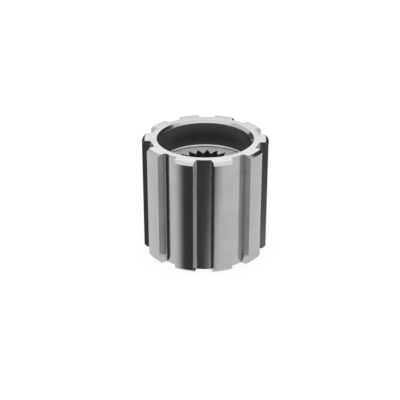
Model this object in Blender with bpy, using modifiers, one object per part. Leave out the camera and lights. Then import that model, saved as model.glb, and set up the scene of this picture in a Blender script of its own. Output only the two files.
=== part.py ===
"""Rigid sleeve coupling that joins two serrated shaft ends in line.

A steel sleeve with ten wide splines on its outside holds a stack of loose pieces in its plain bore: a bush
with a serrated hole at each end, a stop ring between the two bushes, which each shaft end butts against,
and a round-wire snap ring outside each bush, sprung into a groove of the bore.

Metres, +Z up along the axis. The origin is the centre of the lower end face, and a slot faces -Y.
"""

import math

import bmesh
import bpy

MM = 0.001

# Sleeve
LENGTH = 56.7 * MM
OUTER_RADIUS = 30.0 * MM
BORE_RADIUS = 21.6 * MM
END_CHAMFER = 1.4 * MM

# Splines on the outside of the sleeve
SPLINE_COUNT = 10
SLOT_FLOOR_RADIUS = 25.8 * MM
SLOT_MOUTH_WIDTH = 9.54 * MM
SLOT_FLANK_ANGLE = math.radians(20)
SLOT_FILLET_RADIUS = 0.5 * MM
FIRST_SLOT_ANGLE = math.radians(-90)

# Serrated bushes
COUNTERBORE_DEPTH = 14.0 * MM
SERRATION_COUNT = 23
SERRATION_ROOT_RADIUS = 17.5 * MM
SERRATION_TIP_RADIUS = 13.1 * MM
SERRATION_FLAT = 0.35 * MM
SERRATION_PHASE = math.radians(88.0)
BUSH_PILOT_RADIUS = 12.4 * MM
BUSH_EDGE_BREAK = 0.2 * MM

# Stop ring between the bushes
STOP_RING_THICKNESS = 4.0 * MM
STOP_RING_HOLE_RADIUS = 9.5 * MM
STOP_RING_SEAT_RADIUS = 12.9 * MM
STOP_RING_SEAT_RISE = 0.5 * MM
STOP_RING_CHAMFER = 0.6 * MM

# Snap rings of round wire
SNAP_WIRE_DIAMETER = 1.0 * MM
SNAP_RING_RADIUS = BORE_RADIUS
SNAP_RING_GAP = 9.0 * MM

# Clearances between pieces that touch on the real coupling
PRESS_GAP = 0.2 * MM
SEAT_GAP = 0.1 * MM
GROOVE_GAP = 0.15 * MM

# Fineness of the round shapes
TURN_STEPS = 120
SLOT_FLOOR_STEPS = 4
SLOT_FILLET_STEPS = 3
SNAP_RING_POINTS = 57
SNAP_WIRE_RESOLUTION = 2
CUTTER_MARGIN = 3.0 * MM
MERGE_DISTANCE = 0.001 * MM
SHARP_ANGLE = math.radians(12)

# Worked out from the above
MIDDLE = LENGTH / 2
BUSH_INNER_FACE = STOP_RING_THICKNESS / 2 + SEAT_GAP
BUSH_LENGTH = MIDDLE - COUNTERBORE_DEPTH - BUSH_INNER_FACE
BUSH_RADIUS = BORE_RADIUS - PRESS_GAP
SNAP_WIRE_RADIUS = SNAP_WIRE_DIAMETER / 2
SNAP_RING_OFFSET = MIDDLE - COUNTERBORE_DEPTH + SEAT_GAP + SNAP_WIRE_RADIUS
GROOVE_RADIUS = SNAP_RING_RADIUS + SNAP_WIRE_RADIUS + GROOVE_GAP
GROOVE_HALF_WIDTH = SNAP_WIRE_RADIUS + SEAT_GAP


def clear_scene():
    for obj in list(bpy.data.objects):
        bpy.data.objects.remove(obj)


def new_collection(name):
    collection = bpy.data.collections.new(name)
    bpy.context.scene.collection.children.link(collection)
    return collection


def steel(name, grey, roughness):
    """A bare steel: its grey is the share of light that it reflects."""
    material = bpy.data.materials.new(name)
    material.use_nodes = True
    shader = material.node_tree.nodes["Principled BSDF"]
    shader.inputs["Base Color"].default_value = (grey, grey, grey, 1)
    shader.inputs["Metallic"].default_value = 1
    shader.inputs["Roughness"].default_value = roughness
    return material


def polar(radius, angle):
    return radius * math.cos(angle), radius * math.sin(angle)


def arc(centre, radius, start, end, steps):
    """Points from one angle to another round a centre, both ends included."""
    points = []
    for i in range(steps + 1):
        x, y = polar(radius, start + (end - start) * i / steps)
        points.append((centre[0] + x, centre[1] + y))
    return points


def turned(name, profile, collection):
    """A ring turned from (radius, height) points that go down its outside and come up its inside."""
    count = len(profile)
    mesh = bpy.data.meshes.new(name)
    points = [(radius, 0, height) for radius, height in profile]
    edges = [(i, (i + 1) % count) for i in range(count)]
    mesh.from_pydata(points, edges, [])
    obj = bpy.data.objects.new(name, mesh)
    collection.objects.link(obj)
    screw = obj.modifiers.new("turning", "SCREW")
    screw.axis = "Z"
    screw.steps = TURN_STEPS
    screw.render_steps = TURN_STEPS
    screw.use_merge_vertices = True
    screw.merge_threshold = MERGE_DISTANCE
    return obj


def evaluated_mesh(obj):
    """The object's shape with its modifiers or its curve's thickness made real."""
    bpy.context.view_layer.update()
    graph = bpy.context.evaluated_depsgraph_get()
    return bpy.data.meshes.new_from_object(obj.evaluated_get(graph))


def prism_cutter(name, outline, height, collection):
    """A straight cutter along Z, from an outline round its middle."""
    curve = bpy.data.curves.new(name, "CURVE")
    curve.dimensions = "2D"
    curve.fill_mode = "BOTH"
    curve.extrude = height / 2
    spline = curve.splines.new("POLY")
    spline.points.add(len(outline) - 1)
    for point, (x, y) in zip(spline.points, outline):
        point.co = (x, y, 0, 1)
    spline.use_cyclic_u = True
    drawn = bpy.data.objects.new(name + "_outline", curve)
    collection.objects.link(drawn)

    mesh = evaluated_mesh(drawn)
    bpy.data.objects.remove(drawn)
    welded = bmesh.new()
    welded.from_mesh(mesh)
    bmesh.ops.remove_doubles(welded, verts=welded.verts, dist=MERGE_DISTANCE)
    bmesh.ops.recalc_face_normals(welded, faces=welded.faces)
    welded.to_mesh(mesh)
    welded.free()
    return hidden_cutter(name, mesh, collection)


def hidden_cutter(name, mesh, collection):
    cutter = bpy.data.objects.new(name, mesh)
    collection.objects.link(cutter)
    cutter.hide_render = True
    cutter.display_type = "WIRE"
    return cutter


def cut(obj, cutters):
    boolean = obj.modifiers.new("cut", "BOOLEAN")
    boolean.operation = "DIFFERENCE"
    boolean.solver = "EXACT"
    boolean.operand_type = "COLLECTION"
    boolean.collection = cutters


def finish(obj, material):
    """Makes the modifiers real, shades round faces smooth and gives the piece its steel."""
    mesh = evaluated_mesh(obj)
    mesh.name = obj.name
    obj.modifiers.clear()
    obj.data = mesh
    mesh.shade_smooth()
    mesh.set_sharp_from_angle(angle=SHARP_ANGLE)
    mesh.materials.clear()
    mesh.materials.append(material)


def slot_outline():
    """One slot between splines, round +X: a floor on the root circle, filleted into two sloping flanks."""
    mouth_half = SLOT_MOUTH_WIDTH / 2
    mouth_x = math.sqrt(OUTER_RADIUS**2 - mouth_half**2)
    slope = math.tan(SLOT_FLANK_ANGLE)
    normal = (-math.sin(SLOT_FLANK_ANGLE), math.cos(SLOT_FLANK_ANGLE))

    # The fillet's centre lies its radius inside the flank and its radius outside the root circle.
    reach = SLOT_FLOOR_RADIUS + SLOT_FILLET_RADIUS
    offset = mouth_half - mouth_x * slope - SLOT_FILLET_RADIUS / math.cos(SLOT_FLANK_ANGLE)
    foot = -slope * offset
    centre_x = (foot + math.sqrt(foot**2 + (1 + slope**2) * (reach**2 - offset**2))) / (1 + slope**2)
    centre = (centre_x, offset + slope * centre_x)
    floor_angle = math.atan2(centre[1], centre[0])

    outer_x = OUTER_RADIUS + CUTTER_MARGIN
    outer_half = mouth_half + (outer_x - mouth_x) * slope
    to_floor = floor_angle + math.pi
    to_flank = math.atan2(normal[1], normal[0])
    fillet = arc(centre, SLOT_FILLET_RADIUS, to_floor, to_flank, SLOT_FILLET_STEPS)
    floor = arc((0, 0), SLOT_FLOOR_RADIUS, 0, floor_angle, SLOT_FLOOR_STEPS)
    upper_half = floor[:-1] + fillet + [(outer_x, outer_half)]
    lower_half = [(x, -y) for x, y in reversed(upper_half[1:])]
    return upper_half + lower_half


def serration_outline():
    """The serrated hole: pointed gaps, each with a small flat at its root and at the tip beside it."""
    pitch = math.tau / SERRATION_COUNT
    root_half = SERRATION_FLAT / 2 / SERRATION_ROOT_RADIUS
    tip_half = SERRATION_FLAT / 2 / SERRATION_TIP_RADIUS
    points = []
    for i in range(SERRATION_COUNT):
        gap = i * pitch
        tip = gap + pitch / 2
        points.append(polar(SERRATION_ROOT_RADIUS, gap - root_half))
        points.append(polar(SERRATION_ROOT_RADIUS, gap + root_half))
        points.append(polar(SERRATION_TIP_RADIUS, tip - tip_half))
        points.append(polar(SERRATION_TIP_RADIUS, tip + tip_half))
    return points


def groove(height):
    """The snap ring's groove in the bore, as profile points from bottom to top."""
    low = height - GROOVE_HALF_WIDTH
    high = height + GROOVE_HALF_WIDTH
    return [(BORE_RADIUS, low), (GROOVE_RADIUS, low), (GROOVE_RADIUS, high), (BORE_RADIUS, high)]


def splined_sleeve(parts, cutters):
    face_radius = OUTER_RADIUS - END_CHAMFER
    mouth_radius = BORE_RADIUS + END_CHAMFER
    outside = [
        (face_radius, LENGTH),
        (OUTER_RADIUS, LENGTH - END_CHAMFER),
        (OUTER_RADIUS, END_CHAMFER),
        (face_radius, 0),
    ]
    inside = [(mouth_radius, 0), (BORE_RADIUS, END_CHAMFER)]
    inside += groove(MIDDLE - SNAP_RING_OFFSET)
    inside += groove(MIDDLE + SNAP_RING_OFFSET)
    inside += [(BORE_RADIUS, LENGTH - END_CHAMFER), (mouth_radius, LENGTH)]
    sleeve = turned("splined_sleeve", outside + inside, parts)

    slots = bpy.data.collections.new("slot_cutters")
    cutters.children.link(slots)
    height = LENGTH + 2 * CUTTER_MARGIN
    first = prism_cutter("slot_cutter_0", slot_outline(), height, slots)
    for i in range(SPLINE_COUNT):
        cutter = first if i == 0 else hidden_cutter(f"slot_cutter_{i}", first.data, slots)
        cutter.location.z = MIDDLE
        cutter.rotation_euler.z = FIRST_SLOT_ANGLE + i * math.tau / SPLINE_COUNT
    cut(sleeve, slots)
    return sleeve


def serrated_bush(name, parts, cutters):
    """A bush whose inner face, against the stop ring, is at its own z = 0."""
    top = BUSH_LENGTH
    edge = BUSH_RADIUS - BUSH_EDGE_BREAK
    blank = [
        (edge, top),
        (BUSH_RADIUS, top - BUSH_EDGE_BREAK),
        (BUSH_RADIUS, BUSH_EDGE_BREAK),
        (edge, 0),
        (BUSH_PILOT_RADIUS, 0),
        (BUSH_PILOT_RADIUS, top),
    ]
    bush = turned(name, blank, parts)
    broaches = bpy.data.collections.new("serration_broaches")
    cutters.children.link(broaches)
    height = BUSH_LENGTH + 2 * CUTTER_MARGIN
    broach = prism_cutter("serration_broach", serration_outline(), height, broaches)
    broach.location.z = BUSH_LENGTH / 2
    cut(bush, broaches)
    return bush


def shaft_stop_ring(parts):
    """A ring with a low seat on each side, inside the teeth, that a shaft end butts against."""
    half = STOP_RING_THICKNESS / 2
    hole = STOP_RING_HOLE_RADIUS
    seat = STOP_RING_SEAT_RADIUS
    seat_half = half + STOP_RING_SEAT_RISE
    profile = [
        (BUSH_RADIUS, half),
        (BUSH_RADIUS, -half),
        (seat, -half),
        (seat, -seat_half),
        (hole + STOP_RING_CHAMFER, -seat_half),
        (hole, -seat_half + STOP_RING_CHAMFER),
        (hole, seat_half - STOP_RING_CHAMFER),
        (hole + STOP_RING_CHAMFER, seat_half),
        (seat, seat_half),
        (seat, half),
    ]
    return turned("shaft_stop_ring", profile, parts)


def snap_ring(name, parts):
    """A round-wire ring that is open at the front, at -Y, so that it can be squeezed into its groove."""
    curve = bpy.data.curves.new(name, "CURVE")
    curve.dimensions = "3D"
    curve.bevel_depth = SNAP_WIRE_RADIUS
    curve.bevel_resolution = SNAP_WIRE_RESOLUTION
    curve.use_fill_caps = True
    gap_half = SNAP_RING_GAP / 2 / SNAP_RING_RADIUS
    start = -math.pi / 2 + gap_half
    end = 3 * math.pi / 2 - gap_half
    route = arc((0, 0), SNAP_RING_RADIUS, start, end, SNAP_RING_POINTS - 1)
    spline = curve.splines.new("POLY")
    spline.points.add(len(route) - 1)
    for point, (x, y) in zip(spline.points, route):
        point.co = (x, y, 0, 1)
    ring = bpy.data.objects.new(name, curve)
    parts.objects.link(ring)
    return ring


def main():
    clear_scene()
    parts = new_collection("rigid_sleeve_coupling")
    cutters = new_collection("cutters")

    sleeve_steel = steel("ground_steel", 0.46, 0.22)
    bush_steel = steel("broached_steel", 0.42, 0.3)
    stop_steel = steel("turned_steel", 0.4, 0.35)
    spring_steel = steel("spring_wire_steel", 0.55, 0.2)

    axis = bpy.data.objects.new("coupling_axis", None)
    parts.objects.link(axis)

    sleeve = splined_sleeve(parts, cutters)
    finish(sleeve, sleeve_steel)

    stop = shaft_stop_ring(parts)
    finish(stop, stop_steel)
    stop.location.z = MIDDLE

    upper_bush = serrated_bush("upper_serrated_bush", parts, cutters)
    finish(upper_bush, bush_steel)
    upper_bush.location.z = MIDDLE + BUSH_INNER_FACE
    upper_bush.rotation_euler.z = SERRATION_PHASE

    lower_bush = bpy.data.objects.new("lower_serrated_bush", upper_bush.data)
    parts.objects.link(lower_bush)
    lower_bush.location.z = MIDDLE - BUSH_INNER_FACE
    lower_bush.rotation_euler = (math.pi, 0, SERRATION_PHASE)

    upper_snap = snap_ring("upper_snap_ring", parts)
    lower_snap = snap_ring("lower_snap_ring", parts)
    upper_snap.location.z = MIDDLE + SNAP_RING_OFFSET
    lower_snap.location.z = MIDDLE - SNAP_RING_OFFSET
    for ring in (upper_snap, lower_snap):
        ring.data.materials.append(spring_steel)

    for obj in (sleeve, stop, upper_bush, lower_bush, upper_snap, lower_snap):
        obj.parent = axis


main()
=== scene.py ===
# %% [markdown]
# # A rigid sleeve coupling in bare steel
# The object is a short steel sleeve that joins two serrated shafts in line. Ten wide splines
# run down its outside, a serrated bush sits inside each end behind a wire snap ring, and a
# plain ring between the bushes stops both shafts at mid-length.
#
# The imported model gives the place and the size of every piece. Each piece is remade here with
# round surfaces, fillets and broken edges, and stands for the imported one.

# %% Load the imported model
import math

import bmesh
import bpy
from mathutils import Matrix
from mathutils import Vector


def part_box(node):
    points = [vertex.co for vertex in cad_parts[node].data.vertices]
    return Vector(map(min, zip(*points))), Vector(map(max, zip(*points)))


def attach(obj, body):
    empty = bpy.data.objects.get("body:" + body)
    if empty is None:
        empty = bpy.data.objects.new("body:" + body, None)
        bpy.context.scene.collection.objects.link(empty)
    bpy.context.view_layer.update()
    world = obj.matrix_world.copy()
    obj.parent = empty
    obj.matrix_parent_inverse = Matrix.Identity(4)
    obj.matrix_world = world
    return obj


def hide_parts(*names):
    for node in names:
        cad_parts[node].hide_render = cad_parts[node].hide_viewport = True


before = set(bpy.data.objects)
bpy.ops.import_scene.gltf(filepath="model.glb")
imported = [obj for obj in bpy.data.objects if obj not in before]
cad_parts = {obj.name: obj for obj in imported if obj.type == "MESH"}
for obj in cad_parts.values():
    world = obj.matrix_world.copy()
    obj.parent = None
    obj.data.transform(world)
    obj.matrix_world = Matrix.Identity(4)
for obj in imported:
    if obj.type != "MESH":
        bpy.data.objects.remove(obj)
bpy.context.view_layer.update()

print("packed nodes:", sorted(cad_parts))

# %% [markdown]
# ## Sizes
# Lengths are in millimetres on the drawing and in metres in the scene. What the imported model
# knows is read from it: the length and the outside of the sleeve, and the heights of the
# bushes, the stop ring and the wire rings. The drawing's other sizes stand with the piece that
# they belong to.

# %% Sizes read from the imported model
MM = 0.001

sleeve_low, sleeve_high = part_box("splined_sleeve")
upper_bush_low, upper_bush_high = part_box("upper_serrated_bush")
lower_bush_low, lower_bush_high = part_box("lower_serrated_bush")
stop_low, stop_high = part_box("shaft_stop_ring")
upper_wire_low, upper_wire_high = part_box("upper_snap_ring")
lower_wire_low, lower_wire_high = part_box("lower_snap_ring")

LENGTH = sleeve_high.z - sleeve_low.z
OUTER_RADIUS = sleeve_high.x
BUSH_RADIUS = upper_bush_high.y
print("sleeve", round(LENGTH / MM, 2), "mm long,", round(2 * OUTER_RADIUS / MM, 2), "mm across")

# %% [markdown]
# ## Working habits
# Every piece is made as by hand: a primitive at its size and place, edit mode to shape it, then
# a few modifiers that are applied at once. An operator acts on all that is selected, so each
# move first selects nothing, and then picks what it needs by place.

# %% Select, name and pick
def start_clean():
    """Leaves edit mode and selects nothing."""
    if bpy.context.object and bpy.context.object.mode != "OBJECT":
        bpy.ops.object.mode_set(mode="OBJECT")
    bpy.ops.object.select_all(action="DESELECT")


def take(obj):
    """Makes one object the only one selected, and the active one."""
    start_clean()
    obj.select_set(True)
    bpy.context.view_layer.objects.active = obj


def named(name):
    """Names the object just added and lays its place, turn and scale into its mesh."""
    obj = bpy.context.object
    obj.name = name
    obj.data.name = name
    bpy.ops.object.transform_apply(location=True, rotation=True, scale=True)
    return obj


def pick(obj, kind, wanted):
    """Selects in edit mode the vertices, edges or faces that pass a test, and counts them."""
    take(obj)
    bpy.ops.object.mode_set(mode="EDIT")
    bpy.ops.mesh.select_mode(type=kind)
    bpy.ops.mesh.select_all(action="DESELECT")
    mesh = bmesh.from_edit_mesh(obj.data)
    items = {"VERT": mesh.verts, "EDGE": mesh.edges, "FACE": mesh.faces}[kind]
    count = 0
    for item in items:
        if wanted(item):
            item.select_set(True)
            count += 1
    bmesh.update_edit_mesh(obj.data)
    return count

# %% [markdown]
# Spinning and cutting can leave points on top of each other and faces that look inward, so
# such a mesh is merged and its faces are turned outward. Cuts and welds are Boolean modifiers
# with the exact solver, which copes with faces that lie on each other.

# %% Merge and combine
TINY = 0.002 * MM


def tidy_mesh(obj):
    """Merges doubles and turns every face outward."""
    pick(obj, "VERT", lambda vertex: True)
    bpy.ops.mesh.remove_doubles(threshold=TINY)
    bpy.ops.mesh.normals_make_consistent(inside=False)
    start_clean()


def combine(obj, tool, operation):
    """Cuts one solid out of another, or welds it on, and throws the tool away."""
    take(obj)
    boolean = obj.modifiers.new("combine", "BOOLEAN")
    boolean.operation = operation
    boolean.solver = "EXACT"
    boolean.object = tool
    bpy.ops.object.modifier_apply(modifier=boolean.name)
    bpy.data.objects.remove(tool)

# %% [markdown]
# ## Camera
# The photo is taken from the front and above. A camera could be set by eye, but then small
# errors of place pass for errors of shape. So the lens and the place were fitted to the
# sleeve's own edges: the long lens keeps the splines almost parallel.

# %% Camera
CAMERA_PLACE = (0.01168, -0.46428, 0.25529)
CAMERA_TILT = math.radians(63.504)
CAMERA_TURN = math.radians(1.75)
CAMERA_LENS = 96.21
CAMERA_SENSOR = 36.0

camera_data = bpy.data.cameras.new("camera")
camera_data.lens = CAMERA_LENS
camera_data.sensor_width = CAMERA_SENSOR
camera = bpy.data.objects.new("camera", camera_data)
camera.location = CAMERA_PLACE
camera.rotation_euler = (CAMERA_TILT, 0.0, CAMERA_TURN)
bpy.context.scene.collection.objects.link(camera)
bpy.context.scene.camera = camera
print("camera stands", round(camera.location.length, 3), "m from the foot of the axis")

# %% [markdown]
# ## The sleeve
# A lathe makes the blank: a thick tube with a chamfer on every corner. A cylinder with a hole
# would do, but then each chamfer is a step of its own. Here the wall's section is drawn once, a
# rectangle with cut corners, and spun round the axis.

# %% Sleeve blank
BORE_RADIUS = 21.6 * MM
END_CHAMFER = 1.4 * MM
ROUND_STEPS = 360


def turned_ring(name, radii, heights, cut_radii, chamfer):
    """Spins a rectangle round Z, with its corners at the cut radii chamfered."""
    inner, outer = radii
    low, high = heights
    start_clean()
    bpy.ops.mesh.primitive_plane_add(
        size=1.0,
        location=((inner + outer) / 2, 0.0, (low + high) / 2),
        rotation=(math.pi / 2, 0.0, 0.0),
    )
    bpy.context.object.scale = (outer - inner, high - low, 1.0)
    ring = named(name)
    for radius in cut_radii:
        for height in heights:
            corner = Vector((radius, 0.0, height))
            pick(ring, "VERT", lambda vertex: (vertex.co - corner).length < TINY)
            bpy.ops.mesh.bevel(offset=chamfer, affect="VERTICES")
    pick(ring, "FACE", lambda face: True)
    bpy.ops.mesh.delete(type="ONLY_FACE")
    bpy.ops.mesh.select_all(action="SELECT")
    bpy.ops.mesh.spin(
        steps=ROUND_STEPS,
        angle=math.tau,
        center=(0.0, 0.0, 0.0),
        axis=(0.0, 0.0, 1.0),
    )
    tidy_mesh(ring)
    return ring


sleeve = turned_ring(
    "sleeve",
    radii=(BORE_RADIUS, OUTER_RADIUS),
    heights=(0.0, LENGTH),
    cut_radii=(OUTER_RADIUS, BORE_RADIUS),
    chamfer=END_CHAMFER,
)
print("sleeve blank:", len(sleeve.data.polygons), "faces")

# %% [markdown]
# The slots between the splines are milled with a form cutter: sloped flanks, a floor that
# follows the round core, and a small fillet in each root. The splines could be drawn as an
# outline and extruded, but the chamfered ends would then have to be cut after. So the blank
# keeps its chamfers and a cutter is made: a block whose inner side is narrower, with the core
# taken out of it and its two root edges rounded.

# %% Slot cutter
SLOT_FLOOR_RADIUS = 25.8 * MM
SLOT_MOUTH_WIDTH = 9.54 * MM
SLOT_FLANK_ANGLE = math.radians(20.0)
CUTTER_BELOW_FLOOR = 3.0 * MM
CUTTER_OVERRUN = 2.0 * MM
CUTTER_LENGTH = LENGTH + 2 * CUTTER_OVERRUN


def slot_width_at(distance):
    """Width of a slot at a distance from the axis, measured along its centre line."""
    mouth_distance = math.sqrt(OUTER_RADIUS ** 2 - (SLOT_MOUTH_WIDTH / 2) ** 2)
    return SLOT_MOUTH_WIDTH - 2 * (mouth_distance - distance) * math.tan(SLOT_FLANK_ANGLE)


def cutter_block():
    """A block with sloped sides that reaches through the floor of the front slot."""
    near_axis = SLOT_FLOOR_RADIUS - CUTTER_BELOW_FLOOR
    far_out = OUTER_RADIUS + CUTTER_OVERRUN
    middle = (0.0, -(near_axis + far_out) / 2, LENGTH / 2)
    start_clean()
    bpy.ops.mesh.primitive_cube_add(size=1.0, location=middle)
    bpy.context.object.scale = (slot_width_at(far_out), far_out - near_axis, CUTTER_LENGTH)
    block = named("slot cutter")
    pick(block, "VERT", lambda vertex: vertex.co.y > -near_axis - TINY)
    narrowing = slot_width_at(near_axis) / slot_width_at(far_out)
    bpy.ops.transform.resize(value=(narrowing, 1.0, 1.0))
    return block


def take_core_out(block):
    """Hollows the block's inner side, so that it leaves the sleeve's round core standing."""
    start_clean()
    bpy.ops.mesh.primitive_cylinder_add(
        vertices=ROUND_STEPS,
        radius=SLOT_FLOOR_RADIUS,
        depth=CUTTER_LENGTH + 2 * CUTTER_OVERRUN,
        location=(0.0, 0.0, LENGTH / 2),
    )
    combine(block, named("core"), "DIFFERENCE")


cutter = cutter_block()
take_core_out(cutter)
print("slot cutter:", len(cutter.data.polygons), "faces before its fillets")

# %% [markdown]
# The cutter's two long inner edges become the fillets in the roots. They are found by place, as
# edges near the core and near a flank, because the cut may list them in any order.

# %% Root fillets of the cutter
SLOT_FILLET = 0.5 * MM
FILLET_STEPS = 5
ROOT_SIDE_MARGIN = 0.2 * MM
ROOT_RADIUS_MARGIN = 0.1 * MM


def is_root_edge(edge):
    """One of the two long edges where a flank meets the floor."""
    floor_limit = SLOT_FLOOR_RADIUS + ROOT_RADIUS_MARGIN
    side_limit = slot_width_at(SLOT_FLOOR_RADIUS) / 2 - ROOT_SIDE_MARGIN
    is_on_floor = all(vertex.co.xy.length < floor_limit for vertex in edge.verts)
    is_at_side = all(abs(vertex.co.x) > side_limit for vertex in edge.verts)
    return is_on_floor and is_at_side and edge.calc_length() > LENGTH


def round_roots(block):
    """Rounds the root edges to the fillet's radius, and counts them."""
    roots = pick(block, "EDGE", is_root_edge)
    inner_angle = math.pi / 2 + SLOT_FLANK_ANGLE
    bpy.ops.mesh.bevel(
        offset=SLOT_FILLET / math.tan(inner_angle / 2),
        segments=FILLET_STEPS,
        affect="EDGES",
    )
    start_clean()
    return roots


print("slot cutter:", round_roots(cutter), "root edges rounded")

# %% [markdown]
# A dividing head turns the sleeve by a tenth for each slot. Ten cuts, one after the other,
# would do the same here, but each works through the whole mesh again. So the cutter is copied
# round the axis, the copies are joined, and one cut takes out all ten slots.

# %% Mill the ten slots
SLOT_COUNT = 10


def ring_of(tool, count):
    """Copies a tool round the axis and joins the copies into one."""
    copies = [tool]
    for step in range(1, count):
        twin = bpy.data.objects.new(tool.name, tool.data.copy())
        twin.data.transform(Matrix.Rotation(step * math.tau / count, 4, "Z"))
        bpy.context.scene.collection.objects.link(twin)
        copies.append(twin)
    take(tool)
    for twin in copies:
        twin.select_set(True)
    bpy.ops.object.join()
    return tool


combine(sleeve, ring_of(cutter, SLOT_COUNT), "DIFFERENCE")
print("sleeve with slots:", len(sleeve.data.polygons), "faces")

# %% [markdown]
# A boring tool leaves a half-round groove near each end for the wire ring. It could be drawn
# into the blank's section, but a half-round takes many points there. A torus a little thicker
# than the wire cuts it whole, at the wire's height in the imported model.

# %% Grooves for the wire rings
WIRE_RING_RADIUS = 21.6 * MM
WIRE_SIDES = 20
GROOVE_SECTION_RADIUS = 0.62 * MM


def wire_height(low, high):
    """Height of the centre of a wire ring."""
    return (low.z + high.z) / 2


def round_ring(name, section_radius, height):
    """A closed ring of round section, as wide as the wire rings."""
    start_clean()
    bpy.ops.mesh.primitive_torus_add(
        major_segments=ROUND_STEPS,
        minor_segments=WIRE_SIDES,
        major_radius=WIRE_RING_RADIUS,
        minor_radius=section_radius,
        location=(0.0, 0.0, height),
    )
    return named(name)


for low, high in ((upper_wire_low, upper_wire_high), (lower_wire_low, lower_wire_high)):
    groove_tool = round_ring("groove tool", GROOVE_SECTION_RADIUS, wire_height(low, high))
    combine(sleeve, groove_tool, "DIFFERENCE")
tidy_mesh(sleeve)
print("sleeve with grooves:", len(sleeve.data.polygons), "faces")

# %% [markdown]
# ## The serrated bushes
# Each bush is a short tube whose hole has pointed teeth, pulled through by a broach. The teeth
# could be cut with a boolean, but that leaves slivers along them. A tube with two sides to a
# tooth has them from the start: every second upright edge moves in to the tooth tips, and each
# gets a narrow flat.

# %% Toothed wall
TOOTH_COUNT = 23
TOOTH_ROOT_RADIUS = 17.5 * MM
TOOTH_TIP_RADIUS = 13.1 * MM
TOOTH_FLAT = 0.35 * MM
TOOTH_PHASE = math.radians(88.0)


def add_open_tube(sides, radius, low, high):
    """Adds an open tube round the axis, to the mesh in edit mode if there is one."""
    bpy.ops.mesh.primitive_cylinder_add(
        vertices=sides,
        radius=radius,
        depth=high - low,
        end_fill_type="NOTHING",
        location=(0.0, 0.0, (low + high) / 2),
    )


def toothed_tube(name, low, high):
    """The wall of a serrated hole, open at both ends."""
    start_clean()
    add_open_tube(2 * TOOTH_COUNT, TOOTH_ROOT_RADIUS, low, high)
    tube = named(name)
    first = tube.data.vertices[0].co
    first_angle = math.atan2(first.y, first.x)
    half_pitch = math.tau / (2 * TOOTH_COUNT)

    def is_tip(vertex):
        """An end of every second upright edge."""
        turn = math.atan2(vertex.co.y, vertex.co.x) - first_angle
        return round(turn / half_pitch) % 2 == 1

    pick(tube, "VERT", is_tip)
    shrink = TOOTH_TIP_RADIUS / TOOTH_ROOT_RADIUS
    bpy.ops.transform.resize(value=(shrink, shrink, 1.0))
    pick(tube, "EDGE", lambda edge: edge.calc_length() > (high - low) / 2)
    bpy.ops.mesh.bevel(offset=TOOTH_FLAT / 2, segments=1, affect="EDGES")
    start_clean()
    tube.data.transform(Matrix.Rotation(TOOTH_PHASE - first_angle, 4, "Z"))
    return tube

# %% [markdown]
# A plain tube goes round the toothed one, in the same mesh. The flat end between the two is
# filled rather than bridged, because the outlines have unlike numbers of points and a bridge
# twists. Then the outer edges are chamfered.

# %% Bushes
BUSH_EDGE = 0.2 * MM


def lies_at(edge, level):
    """An edge with both ends at one height."""
    return all(abs(vertex.co.z - level) < TINY for vertex in edge.verts)


def is_bush_rim(edge):
    """An edge of the outer wall that runs round the axis."""
    first, second = edge.verts
    is_level = abs(first.co.z - second.co.z) < TINY
    return is_level and min(first.co.xy.length, second.co.xy.length) > BUSH_RADIUS - TINY


def serrated_bush(name, low, high):
    """A toothed tube in a plain one, filled at both ends, with chamfered outer edges."""
    bush = toothed_tube(name, low, high)
    take(bush)
    bpy.ops.object.mode_set(mode="EDIT")
    add_open_tube(ROUND_STEPS, BUSH_RADIUS, low, high)
    for level in (low, high):
        pick(bush, "EDGE", lambda edge: lies_at(edge, level))
        bpy.ops.mesh.fill(use_beauty=True)
    pick(bush, "EDGE", is_bush_rim)
    bpy.ops.mesh.bevel(offset=BUSH_EDGE, segments=1, affect="EDGES")
    tidy_mesh(bush)
    return bush


upper_bush = serrated_bush("upper_bush", upper_bush_low.z, upper_bush_high.z)
lower_bush = serrated_bush("lower_bush", lower_bush_low.z, lower_bush_high.z)
print("bushes:", len(upper_bush.data.polygons), "faces each")

# %% [markdown]
# ## The stop ring
# A turned washer between the bushes. On each side a low seat stands inside the teeth of the
# bush, and the end of a shaft butts on it. One section with steps would do, but two plain
# sections are easier to read: the seat is a second ring, taller and narrower, welded to the
# first.

# %% Stop ring
STOP_HOLE_RADIUS = 9.5 * MM
STOP_SEAT_RADIUS = 12.9 * MM
STOP_SEAT_RISE = 0.5 * MM
STOP_CHAMFER = 0.6 * MM

stop_ring = turned_ring(
    "stop_ring",
    radii=(STOP_HOLE_RADIUS + STOP_CHAMFER, BUSH_RADIUS),
    heights=(stop_low.z + STOP_SEAT_RISE, stop_high.z - STOP_SEAT_RISE),
    cut_radii=(BUSH_RADIUS,),
    chamfer=BUSH_EDGE,
)
seat = turned_ring(
    "seat",
    radii=(STOP_HOLE_RADIUS, STOP_SEAT_RADIUS),
    heights=(stop_low.z, stop_high.z),
    cut_radii=(STOP_HOLE_RADIUS,),
    chamfer=STOP_CHAMFER,
)
combine(stop_ring, seat, "UNION")
tidy_mesh(stop_ring)
print("stop ring:", len(stop_ring.data.polygons), "faces")

# %% [markdown]
# ## The wire snap rings
# Drawn spring wire, rolled to a circle and left open at the front so that pliers can close it.
# A bevelled curve would give the wire too. A torus is simpler here: it loses the part inside
# the gap, and its two cut ends are closed.

# %% Wire rings
WIRE_RADIUS = 0.5 * MM
WIRE_GAP = 9.0 * MM


def wire_ring(name, height):
    """An open ring of round wire."""
    ring = round_ring(name, WIRE_RADIUS, height)
    pick(ring, "VERT", lambda vertex: vertex.co.y < 0.0 and abs(vertex.co.x) < WIRE_GAP / 2)
    bpy.ops.mesh.delete(type="VERT")
    bpy.ops.mesh.select_all(action="SELECT")
    bpy.ops.mesh.fill_holes(sides=0)
    tidy_mesh(ring)
    return ring


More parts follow.
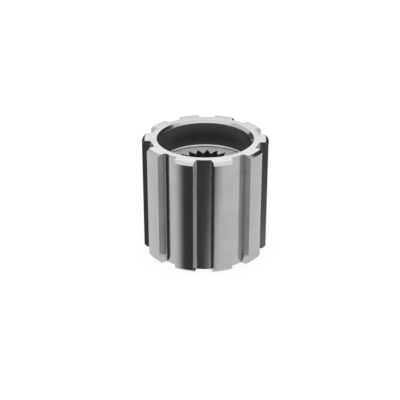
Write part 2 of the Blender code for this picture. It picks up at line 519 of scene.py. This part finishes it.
upper_wire = wire_ring("upper_wire_ring", wire_height(upper_wire_low, upper_wire_high))
lower_wire = wire_ring("lower_wire_ring", wire_height(lower_wire_low, lower_wire_high))
print("wire rings:", len(upper_wire.data.polygons), "faces each")

# %% [markdown]
# ## Shader arithmetic
# The finishes are small sums over the place of a point on the steel. Nodes could be added and
# linked one by one, but a sum is easier to read as arithmetic. One class wraps a shader socket
# and adds the nodes for each operator.

# %% Shader class
class Value:
    """An output socket of a shader node, with arithmetic."""

    def __init__(self, tree, socket):
        self.tree = tree
        self.socket = socket

    def node(self, kind, settings=None, sockets=None, output=0):
        """Adds a node to the same tree, sets or links its sockets, and returns one output."""
        node = self.tree.nodes.new(kind)
        for key, setting in (settings or {}).items():
            setattr(node, key, setting)
        for key, entry in (sockets or {}).items():
            if isinstance(entry, Value):
                self.tree.links.new(entry.socket, node.inputs[key])
            else:
                node.inputs[key].default_value = entry
        if len(node.outputs) == 0:
            return None
        return Value(self.tree, node.outputs[output])

    def other_output(self, output):
        """Another output of the same node."""
        return Value(self.tree, self.socket.node.outputs[output])

    def math(self, operation, *others):
        """A Math node with this value first."""
        entries = dict(enumerate((self,) + others))
        return self.node("ShaderNodeMath", {"operation": operation}, entries)

    def swapped(self, operation, other):
        """A Math node with this value second."""
        return self.node("ShaderNodeMath", {"operation": operation}, {0: other, 1: self})

    def __add__(self, other):
        return self.math("ADD", other)

    def __radd__(self, other):
        return self.swapped("ADD", other)

    def __sub__(self, other):
        return self.math("SUBTRACT", other)

    def __rsub__(self, other):
        return self.swapped("SUBTRACT", other)

    def __mul__(self, other):
        return self.math("MULTIPLY", other)

    def __rmul__(self, other):
        return self.swapped("MULTIPLY", other)

    def __truediv__(self, other):
        return self.math("DIVIDE", other)

    def __rtruediv__(self, other):
        return self.swapped("DIVIDE", other)

    def ramp(self, low, high):
        """Goes smoothly from 0 at low to 1 at high."""
        settings = {"interpolation_type": "SMOOTHSTEP"}
        sockets = {"Value": self, "From Min": low, "From Max": high}
        return self.node("ShaderNodeMapRange", settings, sockets)

    def split(self):
        """The X, Y and Z of this vector."""
        x_part = self.node("ShaderNodeSeparateXYZ", sockets={"Vector": self})
        return x_part, x_part.other_output("Y"), x_part.other_output("Z")

    def noise(self, scale, detail, roughness):
        """Noise read at this vector."""
        sockets = {"Vector": self, "Scale": scale, "Detail": detail, "Roughness": roughness}
        return self.node("ShaderNodeTexNoise", sockets=sockets)

    def as_grey(self):
        """A colour with this value in all three channels."""
        sockets = {"Red": self, "Green": self, "Blue": self}
        return self.node("ShaderNodeCombineColor", sockets=sockets)

# %% [markdown]
# Every material starts with an empty tree. The first Value has no socket of its own: it only
# knows the tree that new nodes go to.

# %% Start and end of a material
def empty_tree(owner):
    """Clears the nodes of a material or a world, and gives a Value to add nodes with."""
    owner.use_nodes = True
    owner.node_tree.nodes.clear()
    return Value(owner.node_tree, None)


def new_material(name):
    """A material with an empty tree, and a Value to add nodes with."""
    material = bpy.data.materials.new(name)
    return material, empty_tree(material)


def to_output(shader):
    """Links a shader to the material's output."""
    shader.node("ShaderNodeOutputMaterial", sockets={"Surface": shader})

# %% [markdown]
# ## Steel
# All pieces are bare steel, but each is worked in another way. A turned or ground face carries
# fine rings round the axis, and a milled or broached side carries lines along it. Both are
# stretched noise: on a face that looks up or down the noise runs with the radius, elsewhere
# with the place round the axis and hardly with height.

# %% Machining marks
LEVEL_FROM = 0.55
LEVEL_TO = 0.9
MARK_DETAIL = 3.0
MARK_ROUGHNESS = 0.6
LINE_STRETCH = 60.0


def machining_marks(place, ring_pitch, line_pitch):
    """Rings on level faces and lines on upright ones, from about 0 to 1."""
    x_place, y_place, z_place = place.split()
    facing = place.node("ShaderNodeNewGeometry", output="Normal").split()[2]
    level = facing.math("ABSOLUTE").ramp(LEVEL_FROM, LEVEL_TO)
    radius = (x_place * x_place + y_place * y_place).math("SQRT")
    ring_vector = place.node("ShaderNodeCombineXYZ", sockets={"X": radius / ring_pitch})
    line_sockets = {
        "X": x_place / line_pitch,
        "Y": y_place / line_pitch,
        "Z": z_place / (LINE_STRETCH * line_pitch),
    }
    line_vector = place.node("ShaderNodeCombineXYZ", sockets=line_sockets)
    rings = ring_vector.noise(1.0, MARK_DETAIL, MARK_ROUGHNESS)
    lines = line_vector.noise(1.0, MARK_DETAIL, MARK_ROUGHNESS)
    return lines + (rings - lines) * level

# %% [markdown]
# The marks change the grey, the gloss and, through a bump, the slope of the surface. Handling
# leaves wide, faint stains on top. One flat grey would do for a part far away, but near by the
# small changes in gloss are what makes steel look like steel.

# %% Steel recipe
NOISE_MIDDLE = 0.5
HANDLING_SCALE = 90.0
HANDLING_DETAIL = 4.0
HANDLING_ROUGHNESS = 0.55
STAIN_FROM = 0.35
STAIN_TO = 0.7
STAIN_SHADE_SHARE = 0.5
STAIN_GLOSS_SHARE = 0.6
MARK_BUMP = 0.25
# Painted light: the grey grows brighter from the first distance from the middle to the second.
END_LIGHT_FROM = 0.33 * LENGTH
END_LIGHT_TO = 0.49 * LENGTH


def steel(
    name,
    grey,
    roughness,
    ring_pitch=0.35 * MM,
    line_pitch=0.5 * MM,
    mark_depth=0.01 * MM,
    shade_change=0.1,
    rough_change=0.06,
    painted_end_light=0.0,
):
    """Bare steel with machining marks. Pitches and depth are in metres.

    The last argument is painted light: how much brighter the grey is painted near both ends of
    the sleeve than in the middle, as if lit through the mouths of the bore.
    """
    material, start = new_material(name)
    place = start.node("ShaderNodeTexCoord", output="Object")
    marks = machining_marks(place, ring_pitch, line_pitch)
    handling = place.noise(HANDLING_SCALE, HANDLING_DETAIL, HANDLING_ROUGHNESS)
    stain = handling.ramp(STAIN_FROM, STAIN_TO)
    # Painted light: the grey grows brighter from the middle toward both ends of the sleeve.
    from_middle = (place.split()[2] - LENGTH / 2).math("ABSOLUTE")
    end_light_mask = from_middle.ramp(END_LIGHT_FROM, END_LIGHT_TO)

    swing = marks - NOISE_MIDDLE
    wear = swing * shade_change - stain * (STAIN_SHADE_SHARE * shade_change)
    gloss_wear = swing * rough_change + stain * (STAIN_GLOSS_SHARE * rough_change)
    tone = grey * (1.0 + painted_end_light * end_light_mask) * (1.0 + wear)
    bump = start.node(
        "ShaderNodeBump",
        sockets={"Strength": MARK_BUMP, "Distance": mark_depth, "Height": marks},
    )
    shader = start.node(
        "ShaderNodeBsdfPrincipled",
        sockets={
            "Base Color": tone.as_grey(),
            "Metallic": 1.0,
            "Roughness": roughness + gloss_wear,
            "Normal": bump,
        },
    )
    to_output(shader)
    print("steel:", name, "of grey", grey, "and roughness", roughness)
    return material

# %% [markdown]
# The ground outside of the sleeve is the smoothest. Its brushed edges are a little brighter:
# partly wear, partly a painted highlight along each edge. The milled slots are slightly
# rougher. Their root fillets are rougher still, because walls that mirror each other in a narrow
# root render as grain.

# %% Steels of the sleeve's outside
MILL_GREY = 0.48
MILL_PITCH = 0.4 * MM
MILL_SHADE_CHANGE = 0.12

sleeve_steel = steel("sleeve steel", grey=0.46, roughness=0.12)
# The edges' brighter grey is partly wear and partly a painted highlight along them.
edge_steel = steel("edge steel", grey=0.5, roughness=0.15)
milled_steel = steel(
    "milled steel",
    grey=MILL_GREY,
    roughness=0.15,
    line_pitch=MILL_PITCH,
    shade_change=MILL_SHADE_CHANGE,
)
fillet_steel = steel(
    "fillet steel",
    grey=MILL_GREY,
    roughness=0.3,
    line_pitch=MILL_PITCH,
    shade_change=MILL_SHADE_CHANGE,
)

# %% [markdown]
# Inside, the bore's grey is painted very dark, as painted shade for the deep hole, and the steel
# is matt. Toward its upper mouth the grey is painted brighter, as painted light from the
# opening, and the lower end is made the same. The broached teeth are rougher, and their grey is
# painted darker than the outside, as painted shade in the gaps between them. The turned stop ring
# is rougher and darker than the outside. The drawn wire is the brightest, with hardly a mark.

# %% Steels inside the sleeve
# Painted shade: a very dark grey for the deep bore. Painted light: brighter toward both ends.
bore_steel = steel(
    "bore steel",
    grey=0.1,
    roughness=0.42,
    line_pitch=0.6 * MM,
    mark_depth=0.006 * MM,
    shade_change=0.2,
    painted_end_light=1.4,
)
# Painted shade: the teeth's grey is darker, for the shade in the gaps between them.
broached_steel = steel(
    "broached steel",
    grey=0.33,
    roughness=0.4,
    ring_pitch=0.5 * MM,
    line_pitch=0.4 * MM,
    mark_depth=0.015 * MM,
    shade_change=0.2,
    rough_change=0.08,
)
stop_steel = steel(
    "stop ring steel",
    grey=0.4,
    roughness=0.34,
    ring_pitch=0.5 * MM,
    mark_depth=0.015 * MM,
    shade_change=0.14,
    rough_change=0.08,
)
wire_steel = steel(
    "wire steel",
    grey=0.8,
    roughness=0.3,
    ring_pitch=0.2 * MM,
    line_pitch=0.2 * MM,
    mark_depth=0.005 * MM,
    shade_change=0.06,
    rough_change=0.05,
)

# %% [markdown]
# The bushes are sintered: pressed from iron powder and baked. Their faces are paler and matt,
# with an open grain that no tool has smeared shut. Noise alone would give the grain, and a cell
# pattern adds the pores between.

# %% Sintered steel
BUSH_GREY = 0.66
BUSH_ROUGHNESS = 0.6
BUSH_METALLIC = 0.35
GRAIN_SIZE = 0.6 * MM
GRAIN_DEPTH = 0.04 * MM
GRAIN_DETAIL = 2.0
GRAIN_ROUGHNESS = 0.6
GRAIN_BUMP = 0.4
GRAIN_SHADE_CHANGE = 0.8
GRAIN_GLOSS_CHANGE = 0.12
PORE_SCALE = 0.7 / GRAIN_SIZE
PORE_FROM = 0.12
PORE_TO = 0.3
PORE_DARKENING = 0.25


def sintered(name):
    """Matt steel pressed from powder, with a fine grain."""
    material, start = new_material(name)
    place = start.node("ShaderNodeTexCoord", output="Object")
    grain = place.noise(1.0 / GRAIN_SIZE, GRAIN_DETAIL, GRAIN_ROUGHNESS)
    cells = start.node(
        "ShaderNodeTexVoronoi",
        sockets={"Vector": place, "Scale": PORE_SCALE},
        output="Distance",
    )
    solid = cells.ramp(PORE_FROM, PORE_TO)
    swing = grain - NOISE_MIDDLE
    tone = BUSH_GREY * (1.0 + GRAIN_SHADE_CHANGE * swing) * (1.0 - PORE_DARKENING * (1.0 - solid))
    bump = start.node(
        "ShaderNodeBump",
        sockets={"Strength": GRAIN_BUMP, "Distance": GRAIN_DEPTH, "Height": grain + solid},
    )
    shader = start.node(
        "ShaderNodeBsdfPrincipled",
        sockets={
            "Base Color": tone.as_grey(),
            "Metallic": BUSH_METALLIC,
            "Roughness": BUSH_ROUGHNESS + GRAIN_GLOSS_CHANGE * swing,
            "Normal": bump,
        },
    )
    to_output(shader)
    print("steel:", name, "of grey", BUSH_GREY, "and roughness", BUSH_ROUGHNESS)
    return material


bush_steel = sintered("bush steel")

# %% [markdown]
# ## Edges
# No real edge is sharp: a deburring brush rounds each one a little, and the round catches the
# light. A Bevel modifier does that to every edge past an angle. Shading smooth would then make
# the flats look domed, so the normals are weighted by area and the large faces stay flat.

# %% Edge breaks and shading
EDGE_BREAK = 0.12 * MM
WIRE_END_BREAK = 0.018 * MM
BREAK_STEPS = 2
BREAK_ANGLE = math.radians(30.0)
SMOOTH_ANGLE = math.radians(32.0)
AREA_WEIGHT = 50


def break_edges(obj, width, material_index):
    """Rounds every sharp edge a little, and gives the round a material."""
    take(obj)
    bevel = obj.modifiers.new("edge break", "BEVEL")
    bevel.width = width
    bevel.segments = BREAK_STEPS
    bevel.limit_method = "ANGLE"
    bevel.angle_limit = BREAK_ANGLE
    bevel.material = material_index
    bpy.ops.object.modifier_apply(modifier=bevel.name)


def smooth_rounds(obj):
    """Shades round faces smooth, and lets the large faces rule so that flats stay flat."""
    take(obj)
    bpy.ops.object.shade_smooth_by_angle(angle=SMOOTH_ANGLE)
    weighted = obj.modifiers.new("flat faces rule", "WEIGHTED_NORMAL")
    weighted.mode = "FACE_AREA"
    weighted.weight = AREA_WEIGHT
    weighted.keep_sharp = True
    bpy.ops.object.modifier_apply(modifier=weighted.name)

# %% [markdown]
# One piece can carry several finishes. A face is told by its place and by where it looks: walls
# that face the axis are bored or broached, and the sleeve's upright walls between the bore and
# the outside are its slots. Faces could be picked by number, but their order may change from
# run to run.

# %% Which finish a face takes
BODY, EDGE, INNER, MILLED, FILLET = range(5)
UPRIGHT_LIMIT = 0.4
INWARD_LIMIT = 0.1
INNER_REACH = BORE_RADIUS + 0.9 * MM
SLOT_REACH_FROM = BORE_RADIUS + 1.0 * MM
SLOT_REACH_TO = OUTER_RADIUS - 0.5 * MM
FLANK_LEAN = 0.3
FLOOR_LEAN = 0.985


def outward_lean(face):
    """1 where a face looks straight away from the axis, 0 across and -1 toward it."""
    outward = Vector((face.center.x, face.center.y, 0.0)).normalized()
    return face.normal.dot(outward)


def finish_of(piece, face):
    """The place in its piece's list of the steel that a face takes."""
    if abs(face.normal.z) >= UPRIGHT_LIMIT:
        return BODY
    reach = face.center.xy.length
    lean = outward_lean(face)
    if lean < INWARD_LIMIT and reach < INNER_REACH:
        return INNER
    if piece is sleeve and SLOT_REACH_FROM < reach < SLOT_REACH_TO:
        return FILLET if FLANK_LEAN < lean < FLOOR_LEAN else MILLED
    return BODY

# %% [markdown]
# Now every piece gets its edges and its steels, rides on the one rigid body and stands for its
# imported node. On the sleeve and the stop ring the edges take the brighter edge steel, partly
# wear and partly painted highlight. On the bushes they take the steel of the broached teeth,
# whose darker grey is painted shade.

# %% Finish every piece
SLEEVE_STEELS = (sleeve_steel, edge_steel, bore_steel, milled_steel, fillet_steel)
# Painted shade: the bushes' edges take the dark steel of the teeth.
BUSH_STEELS = (bush_steel, broached_steel, broached_steel)
STOP_STEELS = (stop_steel, edge_steel, stop_steel)
WIRE_STEELS = (wire_steel, wire_steel, wire_steel)

PIECES = (
    (sleeve, "splined_sleeve", "sleeve_steel", SLEEVE_STEELS, EDGE_BREAK),
    (upper_bush, "upper_serrated_bush", "bush_steel", BUSH_STEELS, EDGE_BREAK),
    (lower_bush, "lower_serrated_bush", "bush_steel", BUSH_STEELS, EDGE_BREAK),
    (stop_ring, "shaft_stop_ring", "stop_ring_steel", STOP_STEELS, EDGE_BREAK),
    (upper_wire, "upper_snap_ring", "snap_ring_steel", WIRE_STEELS, WIRE_END_BREAK),
    (lower_wire, "lower_snap_ring", "snap_ring_steel", WIRE_STEELS, WIRE_END_BREAK),
)

for piece, node, slot, steels, break_width in PIECES:
    piece.data.materials.clear()
    for material in steels:
        piece.data.materials.append(material)
    break_edges(piece, break_width, EDGE)
    tidy_mesh(piece)
    for face in piece.data.polygons:
        if face.material_index == BODY:
            face.material_index = finish_of(piece, face)
    smooth_rounds(piece)
    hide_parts(node)
    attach(piece, "root")
    print(piece.name, "stands for", node, "with", len(piece.data.polygons), "faces")

# %% [markdown]
# ## Studio
# The photo has a plain white ground. The world is white all round, for the camera and in
# reflections. It is a trace less white below: a world that changes is sampled as a lamp is,
# which leaves less grain in the dark steel than a constant one.

# %% World
ROOM_GRADE = 0.005


def white_world():
    """A white room that lights everything evenly, a trace less from below."""
    world = bpy.data.worlds.new("white room")
    bpy.context.scene.world = world
    start = empty_tree(world)
    height = start.node("ShaderNodeTexCoord", output="Generated").split()[2]
    white = (1.0 - ROOM_GRADE) + ROOM_GRADE * height
    sockets = {"Color": white.as_grey(), "Strength": 1.0}
    background = start.node("ShaderNodeBackground", sockets=sockets)
    start.node("ShaderNodeOutputWorld", sockets={"Surface": background})
    return world


print("world:", white_world().name)

# %% [markdown]
# The floor is white paper that keeps a faint shadow: most of it glows white for the rays that
# see it, and the rest takes the light. It is hidden from mirror rays, because so near a floor
# would draw a curved band across the lands. Those rays see the white room and the dark cards
# in its place.

# %% Floor
FLOOR_SIZE = 6.0
FLOOR_DROP = 0.02 * MM
FLOOR_GLOW = 0.88
WHITE = (1.0, 1.0, 1.0, 1.0)


def white_floor():
    """A wide white floor that keeps a faint shadow."""
    material, start = new_material("floor white")
    camera_ray = start.node("ShaderNodeLightPath", output="Is Camera Ray")
    seen = camera_ray.math("MAXIMUM", camera_ray.other_output("Is Glossy Ray"))
    seen = seen.math("MAXIMUM", camera_ray.other_output("Is Transmission Ray"))
    paper = start.node("ShaderNodeBsdfDiffuse", sockets={"Color": WHITE})
    glow = start.node("ShaderNodeEmission", sockets={"Color": WHITE, "Strength": 1.0})
    to_output(start.node("ShaderNodeMixShader", sockets={0: seen * FLOOR_GLOW, 1: paper, 2: glow}))
    start_clean()
    bpy.ops.mesh.primitive_plane_add(size=FLOOR_SIZE, location=(0.0, 0.0, -FLOOR_DROP))
    floor = named("floor")
    floor.data.materials.append(material)
    floor.visible_glossy = False
    return floor


print("floor:", round(white_floor().dimensions.x, 2), "m wide")

# %% [markdown]
# Bare steel shows what stands round it. In the photo the front of the sleeve looks at something
# dark and low that fades out toward both sides, and the chamfers at the far left and right look
# at something dark behind. Cards stand here for both, out of the camera's sight, and show in
# reflections only.
#
# A card is a plane with a dark band on it, and clear beside the band. The band's edges are
# azimuths, counted from the front toward +X, at the level that upright walls mirror: as far
# below the horizon as the camera is above it. An edge may lean with height, because along a
# round chamfer the mirrored sight turns and dips at once.

# %% Dark cards
SIGHT_DIP = 26.0


def card_material(name, shade, edges):
    """Dark inside its edges and clear outside them.

    An edge is (clear, dark, lean): two azimuths in degrees, between which the card fades in, and
    how many degrees the edge moves for each degree of height above the level of SIGHT_DIP.
    """
    material, start = new_material(name)
    x_place, y_place, z_place = start.node("ShaderNodeTexCoord", output="Object").split()
    distance = (x_place * x_place + y_place * y_place).math("SQRT")
    azimuth = x_place.math("ARCTAN2", 0.0 - y_place) * math.degrees(1.0)
    elevation = z_place.math("ARCTAN2", distance) * math.degrees(1.0)
    solid = 1.0
    for clear_at, dark_at, lean in edges:
        solid = (azimuth - (elevation + SIGHT_DIP) * lean).ramp(clear_at, dark_at) * solid
    paper = start.node("ShaderNodeEmission", sockets={"Color": (shade, shade, shade, 1.0)})
    clear = start.node("ShaderNodeBsdfTransparent")
    to_output(start.node("ShaderNodeMixShader", sockets={0: solid, 1: clear, 2: paper}))
    return material


def dark_card(name, corners, material):
    """A plane with its four corners pulled to their places."""
    start_clean()
    bpy.ops.mesh.primitive_plane_add(size=1.0)
    card = named(name)
    for vertex, corner in zip(card.data.vertices, corners):
        vertex.co = corner
    card.data.materials.append(material)
    card.visible_camera = False
    card.visible_diffuse = False
    card.visible_shadow = False
    print("card:", name, "in", material.name)

# %% [markdown]
# The first card lies in front, far below the floor. The upright walls of the sleeve are seen
# from above, so they mirror what is below.

# %% Low front card
LOW_HEIGHT = -0.8
LOW_REACH = 12.0
LOW_NEAR = 0.1

dark_card(
    "low_front_card",
    corners=(
        (-LOW_REACH, -LOW_REACH, LOW_HEIGHT),
        (LOW_REACH, -LOW_REACH, LOW_HEIGHT),
        (-LOW_REACH, -LOW_NEAR, LOW_HEIGHT),
        (LOW_REACH, -LOW_NEAR, LOW_HEIGHT),
    ),
    material=card_material(
        "low front dark",
        shade=0.066,
        edges=((-55.5, -36.0, 0.0), (33.0, 5.0, 1.5)),
    ),
)

# %% [markdown]
# Three more cards stand behind, two at the right and one at the left. The two high ones carry
# leaning bands for the chamfers. The low one darkens the upright walls at the far right.

# %% Standing cards
CARD_DISTANCE = 1.0
CHAMFER_LEAN = 1.35


def toward(azimuth, elevation):
    """A place at the cards' distance, under an azimuth and an elevation in degrees."""
    turn = math.radians(azimuth)
    x_place = CARD_DISTANCE * math.sin(turn)
    y_place = -CARD_DISTANCE * math.cos(turn)
    height = CARD_DISTANCE * math.tan(math.radians(elevation))
    return (x_place, y_place, height + LENGTH / 2)


def standing(azimuths, foot, tops):
    """The corners of a card between two azimuths, from its foot to a top at either side."""
    feet = [toward(azimuth, foot) for azimuth in azimuths]
    heads = [toward(azimuth, top) for azimuth, top in zip(azimuths, tops)]
    return feet + heads


dark_card(
    "right_card",
    corners=standing((94.0, 172.0), foot=-10.0, tops=(55.0, 30.0)),
    material=card_material(
        "right dark",
        shade=0.07,
        edges=(
            (175.0, 181.0, -CHAMFER_LEAN),
            (219.0, 213.0, -CHAMFER_LEAN),
            (102.0, 110.0, 0.0),
        ),
    ),
)
dark_card(
    "low_right_card",
    corners=standing((126.0, 168.0), foot=-45.0, tops=(-5.0, -5.0)),
    material=card_material(
        "low right dark",
        shade=0.05,
        edges=((126.0, 134.0, 0.0), (168.0, 160.0, 0.0)),
    ),
)
dark_card(
    "left_card",
    corners=standing((-170.0, -122.0), foot=-8.0, tops=(22.0, 20.0)),
    material=card_material(
        "left dark",
        shade=0.1,
        edges=(
            (-219.0, -213.0, CHAMFER_LEAN),
            (-175.0, -181.0, CHAMFER_LEAN),
            (-122.0, -134.0, 0.0),
        ),
    ),
)

# %% [markdown]
# One soft box stands behind and one hangs above. They brighten what looks up, the top ring and
# the near chamfers, which the white room alone would leave greyer than in the photo. A stronger
# world would do that too, but it would brighten the sides as well.

# %% Lamps
def soft_lamp(name, place, width, height, glow):
    """A soft box that looks at the middle of the sleeve.

    glow is its brightness, 1 being white. The lamp's watts are that times pi times its area.
    """
    lamp = bpy.data.lights.new(name, "AREA")
    lamp.shape = "RECTANGLE"
    lamp.size = width
    lamp.size_y = height
    lamp.energy = glow * math.pi * width * height
    obj = bpy.data.objects.new(name, lamp)
    obj.location = place
    sight = Vector((0.0, 0.0, LENGTH / 2)) - Vector(place)
    obj.rotation_euler = sight.to_track_quat("-Z", "Y").to_euler()
    obj.visible_camera = False
    bpy.context.scene.collection.objects.link(obj)
    print("lamp:", name, round(lamp.energy, 2), "W")


soft_lamp("back box", place=(0.0, 1.26, 1.02), width=1.3, height=0.87, glow=0.68)
soft_lamp("top box", place=(0.0, -0.1, 1.0), width=1.5, height=1.5, glow=0.42)

# %% [markdown]
# ## Close
# The Standard view shows colours about as they are written.

# %% View transform
bpy.context.scene.view_settings.view_transform = "Standard"
